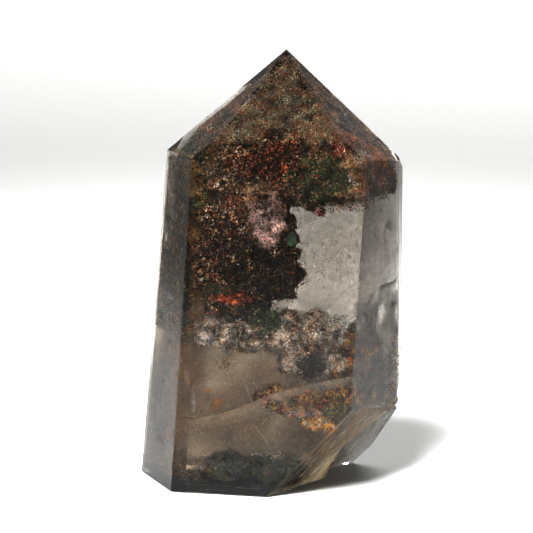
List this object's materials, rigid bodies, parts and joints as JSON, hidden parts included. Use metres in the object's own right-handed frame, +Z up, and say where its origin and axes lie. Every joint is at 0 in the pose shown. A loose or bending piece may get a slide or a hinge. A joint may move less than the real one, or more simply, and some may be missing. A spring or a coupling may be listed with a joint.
{
  "type": "chlorite quartz crystal",
  "caption": "Polished clear quartz point with a flat base, a broken lower corner, and chlorite and iron grains sealed inside.",
  "frame": {"origin": "on the flat base, under the middle of the crystal's box", "axes": "+Z up along the crystal's length to the tip; -Y out of the large front face; +X to the right seen from the front"},
  "size_m": [0.0477, 0.0256, 0.08],
  "materials": {
    "clear_quartz": "polished smoky clear quartz, frosted and streaked on the broken corner",
    "chlorite_phantom": "dull mineral grains, brown, dark green and rust",
    "granular_veil": "dull pale mineral grains, grey-brown with pink",
    "limonite_pocket": "dull earthy grains, yellow-brown and rust",
    "root_chlorite": "dull mineral grains, very dark green"
  },
  "bodies": {
    "root": {"crystal_front": "clear_quartz", "crystal_back": "clear_quartz", "chlorite_phantom": "chlorite_phantom", "granular_veil": "granular_veil", "limonite_pocket": "limonite_pocket", "root_chlorite": "root_chlorite"}
  },
  "joints": []
}
